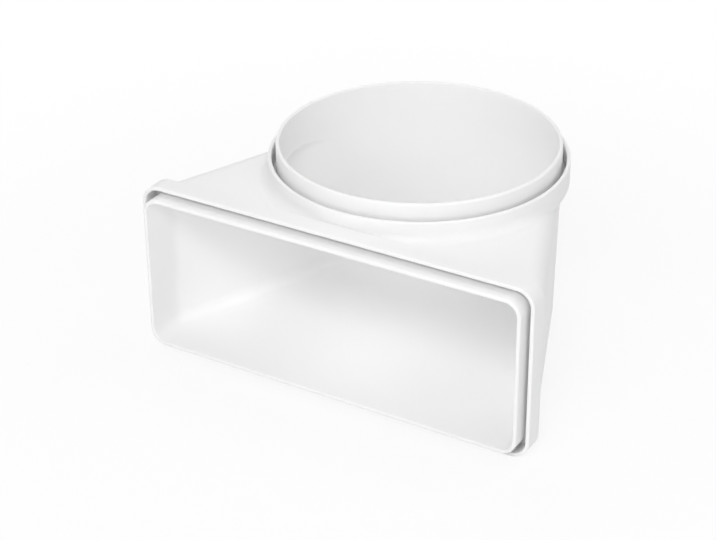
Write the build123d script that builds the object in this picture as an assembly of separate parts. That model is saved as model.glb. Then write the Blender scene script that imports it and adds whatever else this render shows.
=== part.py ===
from build123d import *
import math
import os

# A one-piece moulded elbow that turns a flat duct through a right angle into a round pipe.
# Millimetres, Z up. The pipe stands on the Z axis and its end stops at Z = 0, which is also the level
# of the elbow's flat top. The duct leaves towards -Y. The elbow is symmetric about X = 0.

# Flat duct that the rectangular port takes
duct_width = 220.0  # outside
duct_height = 90.0  # outside
duct_wall = 1.5
duct_corner = 7.5  # outside radius of its corners

# Round pipe that the round port takes
pipe_bore = 150.0
pipe_wall = 1.5

# Fits, on each side
duct_spigot_clearance = 0.15
duct_collar_clearance = 0.5
pipe_spigot_clearance = 0.25
pipe_collar_clearance = 0.5

# Moulding
wall = 2.0
draft_angle = 1.0  # degrees that the flanks and the back lean in towards the floor
duct_socket_depth = 9.8  # how far the duct goes in between its spigot and its collar
pipe_socket_depth = 10.7  # how far the pipe goes in between its spigot and its collar
duct_lip = 6.0  # how far the rectangular spigot stands past its collar
pipe_lip = 8.0  # how far the round spigot stands past its collar
collar_gap = 0.4  # between the round collar and the back of the rectangular one
shoulder_run = 8.4  # straight sides between the rectangular collar and the taper
spigot_corner = 9.0  # outside radius of the rectangular spigot's corners and of the long edges
shoulder_round = 14.0  # outside radius where the straight sides turn into the taper
cove = 5.0  # radius in the corner between the round collar and the flat top

# Small edges, all taken from the wall
lead_in = wall / 2  # radius on the outside edge of a spigot's rim
rim_chamfer = wall / 5  # other edges of the rims and collars
collar_chamfer = 2 * rim_chamfer  # outside edge at the back of the rectangular collar

# Rectangular port
spigot_width = duct_width - 2 * (duct_wall + duct_spigot_clearance)
spigot_height = duct_height - 2 * (duct_wall + duct_spigot_clearance)
socket_width = duct_width + 2 * duct_collar_clearance
socket_height = duct_height + 2 * duct_collar_clearance
socket_corner = duct_corner + duct_collar_clearance
duct_axis_z = -spigot_height / 2

# Round port
spigot_radius = pipe_bore / 2 - pipe_spigot_clearance
bore_radius = spigot_radius - wall
socket_radius = pipe_bore / 2 + pipe_wall + pipe_collar_clearance
collar_radius = socket_radius + wall
pipe_rim_z = pipe_socket_depth + pipe_lip

# Stations along the duct, from the pipe's axis forwards
collar_back_y = -collar_radius - collar_gap
collar_front_y = collar_back_y - wall - duct_socket_depth
duct_rim_y = collar_front_y - duct_lip
shoulder_y = collar_back_y + shoulder_run

# The flanks run from the shoulders to the round back and touch it there
shoulder_x = spigot_width / 2
taper = math.atan2(shoulder_y, shoulder_x) + math.acos(spigot_radius / math.hypot(shoulder_x, shoulder_y))

# Room that blanks and cutters run past the faces they meet
overrun = wall


def tapered_plan(inset):
    """Plan of the two flanks and the round back, drawn in from the outside and run on past the duct's rim."""
    radius = spigot_radius - inset
    touch = Vector(radius * math.cos(taper), radius * math.sin(taper))
    flank = Vector(math.sin(taper), -math.cos(taper))
    front = touch + flank * ((touch.Y - duct_rim_y + spigot_width) / math.cos(taper))
    sides = Polyline((-touch.X, touch.Y), (-front.X, front.Y), (front.X, front.Y), (touch.X, touch.Y))
    back = ThreePointArc((touch.X, touch.Y), (0, radius), (-touch.X, touch.Y))
    return make_face(sides + back)


def leaning_block(plan, depth):
    """A plan run down from the level of the flat top, with its sides leaning in."""
    block = extrude(plan, amount=depth, dir=(0, 0, -1))
    return draft(block.faces().filter_by(Axis.Z, reverse=True), Plane.XY, -draft_angle)


def chamber(inset, forward):
    """The elbow's rounded hull, drawn in all round by inset and reaching forward past the duct's rim."""
    radius = spigot_radius - inset
    height = spigot_height - 2 * inset
    length = radius - duct_rim_y + forward
    sides = Pos(0, radius - length / 2, duct_axis_z) * Box(spigot_width - 2 * inset, length, height)
    hull = leaning_block(tapered_plan(inset), spigot_height) & sides

    upright = hull.edges().filter_by(lambda edge: edge.bounding_box().size.Z > height / 2)
    shoulders = upright.sort_by(Axis.Y)[2:4]
    hull = fillet(shoulders, shoulder_round - inset)

    floor_and_top = hull.faces().filter_by(Axis.Z).edges()
    long_edges = floor_and_top.sort_by(Axis.Y)[2:]
    return fillet(long_edges, spigot_corner - inset)


def round_back(radius):
    """The round back under the round port, deep enough to pass the hull's rounded top edge."""
    return leaning_block(Circle(radius), spigot_corner + overrun)


def upright_cylinder(radius, bottom, top):
    """A cylinder on the pipe's axis, with its seam at the back."""
    section = Plane((0, 0, bottom), x_dir=(0, 1, 0), z_dir=(0, 0, 1)) * Circle(radius)
    return extrude(section, amount=top - bottom)


def duct_block(width, height, corner, front, back):
    """A round-cornered block on the duct's axis."""
    section = Plane.XZ.offset(-back) * Pos(0, duct_axis_z) * RectangleRounded(width, height, corner)
    return extrude(section, amount=back - front)


def hull_with_round_collar():
    """Outside of the hull and the blank of the round collar, with the cove between them."""
    blank = chamber(0, 0) + round_back(spigot_radius)
    blank += upright_cylinder(collar_radius, -wall, pipe_socket_depth)
    rings = blank.edges().filter_by(GeomType.CIRCLE)
    rings = rings.filter_by(lambda edge: math.isclose(edge.radius, collar_radius))
    foot = rings.filter_by_position(Axis.Z, -wall / 2, wall / 2)
    return fillet(foot, cove)


def elbow_blank():
    """The hull, both collars and the round spigot, before they are hollowed."""
    width = socket_width + 2 * wall
    height = socket_height + 2 * wall
    collar = duct_block(width, height, socket_corner + wall, collar_front_y, collar_back_y)
    collar = chamfer(collar.faces().sort_by(Axis.Y)[-1].edges(), collar_chamfer)
    return hull_with_round_collar() + collar + upright_cylinder(spigot_radius, -wall, pipe_rim_z)


def air_path():
    """The space that the air goes through, from the rectangular mouth to the round one."""
    path = chamber(wall, overrun) + round_back(bore_radius)
    return path + upright_cylinder(bore_radius, 0, pipe_rim_z + overrun)


def duct_groove():
    """The rectangular groove that the duct's end slides into."""
    floor_y = collar_back_y - wall
    outside = duct_block(socket_width, socket_height, socket_corner, collar_front_y - overrun, floor_y)
    spigot = duct_block(spigot_width, spigot_height, spigot_corner, collar_front_y - overrun, floor_y)
    return outside - spigot


def pipe_groove():
    """The ring-shaped groove that the pipe's end slides into."""
    outside = upright_cylinder(socket_radius, 0, pipe_socket_depth + overrun)
    return outside - upright_cylinder(spigot_radius, 0, pipe_socket_depth + overrun)


def soften_rims(elbow):
    """Rounded lead-ins on the spigots and small chamfers on the other edges of the two ports."""
    duct_rim = elbow.faces().filter_by(Axis.Y).sort_by(Axis.Y)[0]
    elbow = fillet(duct_rim.outer_wire().edges(), lead_in)
    pipe_rim = elbow.faces().filter_by(Axis.Z).sort_by(Axis.Z)[-1]
    elbow = fillet(pipe_rim.outer_wire().edges(), lead_in)

    front_faces = elbow.faces().filter_by(Axis.Y).sort_by(Axis.Y)
    top_faces = elbow.faces().filter_by(Axis.Z).sort_by(Axis.Z)
    duct_rim, duct_collar = front_faces[0:2]
    pipe_collar, pipe_rim = top_faces[-2:]
    edges = duct_rim.inner_wires().edges() + duct_collar.edges()
    edges += pipe_rim.inner_wires().edges() + pipe_collar.edges()
    return chamfer(edges, rim_chamfer)


def duct_elbow():
    """The whole moulding."""
    elbow = elbow_blank() - duct_groove() - pipe_groove() - air_path()
    return soften_rims(elbow)


os.makedirs("parts", exist_ok=True)
export_step(duct_elbow(), "parts/duct_elbow.step")
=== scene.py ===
"""White moulded duct elbow: the finish of its plastic, the studio stage and the camera.

Laid out as an add-on and run as a script. Metres, Z up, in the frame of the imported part: the pipe stands on
the Z axis, the duct leaves towards -Y, and the flat top is at Z = 0.
"""
import math

import bmesh
import bpy
from bpy.props import FloatProperty, FloatVectorProperty, PointerProperty
from mathutils import Matrix, Vector


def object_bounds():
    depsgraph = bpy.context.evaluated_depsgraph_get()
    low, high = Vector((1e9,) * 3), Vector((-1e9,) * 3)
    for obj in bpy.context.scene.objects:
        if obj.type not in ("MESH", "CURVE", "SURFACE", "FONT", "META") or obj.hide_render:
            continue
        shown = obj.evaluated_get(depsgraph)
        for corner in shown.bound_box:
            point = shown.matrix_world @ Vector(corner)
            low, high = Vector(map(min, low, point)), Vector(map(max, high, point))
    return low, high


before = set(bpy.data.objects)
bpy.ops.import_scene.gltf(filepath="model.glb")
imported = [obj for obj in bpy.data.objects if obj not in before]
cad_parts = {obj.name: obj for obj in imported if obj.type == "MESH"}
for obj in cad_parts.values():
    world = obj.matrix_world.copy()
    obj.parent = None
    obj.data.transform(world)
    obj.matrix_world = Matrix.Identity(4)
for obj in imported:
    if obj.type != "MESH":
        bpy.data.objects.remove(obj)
cad_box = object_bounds()

bl_info = {
    "name": "Duct elbow",
    "version": (1, 0, 0),
    "blender": (4, 5, 0),
    "location": "3D View > Sidebar > Duct elbow",
    "description": "Finishes a moulded duct elbow and sets it on a studio stage",
    "category": "Object",
}

PHOTO_WIDTH = 716
SENSOR_WIDTH = 36.0
FLOOR_GAP = 0.0002  # keeps the floor off the face that stands on it
SHADOW_CORE = 0.25  # share of the shadow's reach within which it doesn't fade


class Wire:
    """An output of a shader node. Sums and products of wires add Math nodes."""

    def __init__(self, tree, socket=None):
        self.tree = tree
        self.socket = socket

    def node(self, kind, settings=None, sockets=None, output=0):
        """Adds a node, gives it its settings, then values or links for its sockets, and returns one output."""
        made = self.tree.nodes.new(kind)
        for name, value in (settings or {}).items():
            setattr(made, name, value)
        for name, value in (sockets or {}).items():
            if isinstance(value, Wire):
                self.tree.links.new(value.socket, made.inputs[name])
            else:
                made.inputs[name].default_value = value
        return Wire(self.tree, made.outputs[output] if made.outputs else None)

    def math(self, operation, first, second):
        """A value worked out from two values."""
        return self.node("ShaderNodeMath", {"operation": operation}, {0: first, 1: second})

    def mix(self, factor, first, second):
        """A colour between two colours."""
        return self.node("ShaderNodeMix", {"data_type": "RGBA"}, {0: factor, 6: first, 7: second}, 2)

    def __add__(self, other):
        return self.math("ADD", self, other)

    def __sub__(self, other):
        return self.math("SUBTRACT", self, other)

    def __mul__(self, other):
        return self.math("MULTIPLY", self, other)

    def __rsub__(self, other):
        return self.math("SUBTRACT", other, self)

    __radd__ = __add__
    __rmul__ = __mul__


class DUCTELBOW_PG_moulding(bpy.types.PropertyGroup):
    """The white plastic and its skin."""

    plastic: FloatVectorProperty(
        name="Plastic", description="Colour of the plastic", subtype="COLOR", min=0, max=1,
        default=(0.955, 0.955, 0.953),
    )
    cloud: FloatVectorProperty(
        name="Cloud", description="Colour of the faint clouds in the plastic", subtype="COLOR", min=0, max=1,
        default=(0.94, 0.942, 0.945),
    )
    cloud_size: FloatProperty(
        name="Cloud size", description="Width of a cloud in the plastic", unit="LENGTH", default=0.035,
    )
    roughness: FloatProperty(
        name="Roughness", description="Middle roughness of the skin", subtype="FACTOR", min=0, max=1, default=0.5,
    )
    roughness_swing: FloatProperty(
        name="Roughness swing", description="How far the roughness goes up and down", subtype="FACTOR",
        min=0, max=1, default=0.08,
    )
    depth: FloatProperty(
        name="Depth", description="How deep light goes into the plastic", unit="LENGTH", default=0.001,
    )
    peel_size: FloatProperty(
        name="Peel size", description="Width of the fine ripples in the skin", unit="LENGTH", default=0.0022,
    )
    peel_depth: FloatProperty(
        name="Peel depth", description="Height of the fine ripples in the skin", unit="LENGTH", default=0.000008,
    )
    sink_size: FloatProperty(
        name="Sink size", description="Width of the shallow sinks in the walls", unit="LENGTH", default=0.03,
    )
    sink_depth: FloatProperty(
        name="Sink depth", description="Depth of the shallow sinks in the walls", unit="LENGTH", default=0.00005,
    )


class DUCTELBOW_PG_stage(bpy.types.PropertyGroup):
    """The floor, the lamps and the camera."""

    floor_colour: FloatVectorProperty(
        name="Floor colour", description="Colour of the pale floor", subtype="COLOR", min=0, max=1,
        default=(0.95, 0.95, 0.95),
    )
    floor_radius: FloatProperty(
        name="Floor radius", description="Radius of the round floor", unit="LENGTH", default=6.0,
    )
    shadow: FloatProperty(
        name="Shadow", description="How much of the shadow on the floor the camera sees", subtype="FACTOR",
        min=0, max=1, default=0.16,
    )
    shadow_reach: FloatProperty(
        name="Shadow reach", description="Distance at which the shadow has faded out", unit="LENGTH", default=0.45,
    )
    room_light: FloatProperty(
        name="Room light", description="Strength of the even light from all round", default=0.41, min=0,
    )
    front_light: FloatProperty(
        name="Front light", description="Light from the wide lamp in front", default=0.19, min=0,
    )
    key_light: FloatProperty(
        name="Key light", description="Light from the narrow lamp above the camera", default=0.22, min=0,
    )
    side_light: FloatProperty(
        name="Side light", description="Light from the low lamp at the side", default=0.12, min=0,
    )
    back_light: FloatProperty(
        name="Back light", description="Light from each of the high lamps behind", default=0.12, min=0,
    )
    camera_place: FloatVectorProperty(
        name="Camera place", description="Where the camera stands", subtype="TRANSLATION", unit="LENGTH",
        default=(0.438289, -0.792987, 0.449548),
    )
    camera_turn: FloatProperty(
        name="Camera turn", description="Turn from the front of the duct to the camera", subtype="ANGLE",
        default=math.radians(30.975),
    )
    camera_height: FloatProperty(
        name="Camera height", description="Angle at which the camera looks down", subtype="ANGLE",
        default=math.radians(29.342),
    )
    camera_roll: FloatProperty(
        name="Camera roll", description="Roll of the camera about its line of sight", subtype="ANGLE",
        default=math.radians(-0.46),
    )
    focal_pixels: FloatProperty(
        name="Focal length", description="Focal length in pixels of the picture", subtype="PIXEL", default=1922.46,
    )


def new_material(name):
    """An empty node material and a wire to start its nodes from."""
    material = bpy.data.materials.new(name)
    material.use_nodes = True
    material.node_tree.nodes.clear()
    return material, Wire(material.node_tree)


def seen(start):
    """1 on the rays that show a surface: straight, mirrored or through something clear."""
    path = {name: start.node("ShaderNodeLightPath", output=name) for name in
            ("Is Camera Ray", "Is Glossy Ray", "Is Transmission Ray")}
    shown = start.math("MAXIMUM", path["Is Camera Ray"], path["Is Glossy Ray"])
    return start.math("MAXIMUM", shown, path["Is Transmission Ray"])


def white_plastic(look):
    """Smooth white plastic with faint clouds, a fine rippled skin and shallow sinks."""
    material, start = new_material("white_plastic_satin")
    place = start.node("ShaderNodeTexCoord", output="Object")

    def noise(size, detail):
        return start.node(
            "ShaderNodeTexNoise", sockets={"Vector": place, "Scale": 1 / size, "Detail": detail, "Roughness": 0.5})

    clouds = noise(look.cloud_size, detail=2.0)
    peel = noise(look.peel_size, detail=1.0)
    sinks = noise(look.sink_size, detail=0.0)
    colour = start.mix(clouds, (*look.plastic, 1), (*look.cloud, 1))
    roughness = look.roughness + (clouds + peel - 1) * look.roughness_swing
    height = sinks * look.sink_depth + peel * look.peel_depth
    skin = start.node("ShaderNodeBump", sockets={"Strength": 1.0, "Distance": 1.0, "Height": height})
    plastic = start.node("ShaderNodeBsdfPrincipled", sockets={
        "Base Color": colour, "Roughness": roughness, "IOR": 1.5, "Normal": skin,
        "Subsurface Weight": 1.0, "Subsurface Radius": (1, 1, 1), "Subsurface Scale": look.depth})
    start.node("ShaderNodeOutputMaterial", sockets={"Surface": plastic})
    return material


def floor_white(stage):
    """Pale matt floor that the camera sees as white, with part of the shadow kept round the elbow."""
    material, start = new_material("stage_floor_white")
    place = start.node("ShaderNodeTexCoord", output="Object")
    away = start.node("ShaderNodeVectorMath", {"operation": "LENGTH"}, {0: place}, "Value")
    share = start.node("ShaderNodeMapRange", {"interpolation_type": "SMOOTHSTEP"}, {
        "Value": away, "From Min": stage.shadow_reach * SHADOW_CORE, "From Max": stage.shadow_reach,
        "To Min": 1 - stage.shadow, "To Max": 1.0})
    matt = start.node("ShaderNodeBsdfDiffuse", sockets={"Color": (*stage.floor_colour, 1)})
    white = start.node("ShaderNodeEmission", sockets={"Strength": 1.0})
    both = start.node("ShaderNodeMixShader", sockets={0: seen(start) * share, 1: matt, 2: white})
    start.node("ShaderNodeOutputMaterial", sockets={"Surface": both})
    return material


def studio_world(stage):
    """Even white light from all round, with a white background."""
    world = bpy.data.worlds.new("studio")
    world.use_nodes = True
    world.node_tree.nodes.clear()
    start = Wire(world.node_tree)
    strength = stage.room_light + seen(start) * (1 - stage.room_light)
    sky = start.node("ShaderNodeBackground", sockets={"Color": (1, 1, 1, 1), "Strength": strength})
    start.node("ShaderNodeOutputWorld", sockets={"Surface": sky})
    return world


def link(name, data):
    """Puts an object with this data in the scene."""
    made = bpy.data.objects.new(name, data)
    bpy.context.scene.collection.objects.link(made)
    return made


def towards(turn, height):
    """Direction from the elbow to something at this turn from the front and this height."""
    return Vector((math.sin(turn) * math.cos(height), -math.cos(turn) * math.cos(height), math.sin(height)))


def soft_lamp(name, light, turn, height, size=0.8, distance=1.5):
    """A round soft lamp aimed at the middle of the elbow, which gives that much light there. Angles in degrees."""
    data = bpy.data.lights.new(name, "AREA")
    data.shape = "DISK"
    data.size = size
    data.energy = light * (math.pi * distance) ** 2
    lamp = link(name, data)
    way = towards(math.radians(turn), math.radians(height))
    lamp.rotation_euler = way.to_track_quat("Z", "Y").to_euler()
    lamp.location = (cad_box[0] + cad_box[1]) / 2 + way * distance


def photo_camera(stage):
    """The camera, from the photograph's angle."""
    data = bpy.data.cameras.new("camera")
    data.sensor_width = SENSOR_WIDTH
    data.lens = stage.focal_pixels * SENSOR_WIDTH / PHOTO_WIDTH
    back = towards(stage.camera_turn, stage.camera_height)
    level = Vector((math.cos(stage.camera_turn), math.sin(stage.camera_turn), 0))
    roll = Matrix.Rotation(stage.camera_roll, 3, back)
    right = roll @ level
    camera = link("camera", data)
    camera.matrix_world = (
        Matrix.Translation(stage.camera_place) @ Matrix((right, back.cross(right), back)).transposed().to_4x4())
    bpy.context.scene.camera = camera


class DUCTELBOW_OT_moulding(bpy.types.Operator):
    """Gives the moulded elbow its white plastic"""

    bl_idname = "ductelbow.moulding"
    bl_label = "Moulding"

    def execute(self, context):
        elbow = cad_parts["duct_elbow"]
        elbow.material_slots[0].material = white_plastic(context.scene.ductelbow_moulding)
        return {"FINISHED"}


class DUCTELBOW_OT_stage(bpy.types.Operator):
    """Sets up the floor, the light and the camera"""

    bl_idname = "ductelbow.stage"
    bl_label = "Stage"

    def execute(self, context):
        stage = context.scene.ductelbow_stage
        mesh = bpy.data.meshes.new("stage_floor")
        shape = bmesh.new()
        level = Matrix.Translation((0, 0, cad_box[0].z - FLOOR_GAP))
        bmesh.ops.create_circle(shape, cap_ends=True, segments=96, radius=stage.floor_radius, matrix=level)
        shape.to_mesh(mesh)
        shape.free()
        mesh.materials.append(floor_white(stage))
        link("stage_floor", mesh)

        soft_lamp("lamp_key", stage.key_light, turn=20, height=43.5, size=0.4)
        soft_lamp("lamp_front", stage.front_light, turn=0, height=35)
        soft_lamp("lamp_side", stage.side_light, turn=60, height=10)
        for side in (-1, 1):
            soft_lamp("lamp_back", stage.back_light, turn=side * 135, height=60)
        context.scene.world = studio_world(stage)
        context.scene.view_settings.view_transform = "Standard"
        photo_camera(stage)
        return {"FINISHED"}


class DUCTELBOW_PT_panel(bpy.types.Panel):
    """Sizes, colours and steps of the duct elbow"""

    bl_idname = "DUCTELBOW_PT_panel"
    bl_label = "Duct elbow"
    bl_space_type = "VIEW_3D"
    bl_region_type = "UI"
    bl_category = "Duct elbow"

    def draw(self, context):
        for settings, step in ((context.scene.ductelbow_moulding, DUCTELBOW_OT_moulding),
                               (context.scene.ductelbow_stage, DUCTELBOW_OT_stage)):
            box = self.layout.box()
            for name in settings.bl_rna.properties.keys():
                if name not in ("rna_type", "name"):
                    box.prop(settings, name)
            box.operator(step.bl_idname)


CLASSES = (
    DUCTELBOW_PG_moulding, DUCTELBOW_PG_stage, DUCTELBOW_OT_moulding, DUCTELBOW_OT_stage, DUCTELBOW_PT_panel,
)


def register():
    for part in CLASSES:
        bpy.utils.register_class(part)
    bpy.types.Scene.ductelbow_moulding = PointerProperty(type=DUCTELBOW_PG_moulding)
    bpy.types.Scene.ductelbow_stage = PointerProperty(type=DUCTELBOW_PG_stage)


def unregister():
    del bpy.types.Scene.ductelbow_stage
    del bpy.types.Scene.ductelbow_moulding
    for part in reversed(CLASSES):
        bpy.utils.unregister_class(part)


def main():
    register()
    bpy.ops.ductelbow.moulding()
    bpy.ops.ductelbow.stage()


if __name__ == "__main__":
    main()
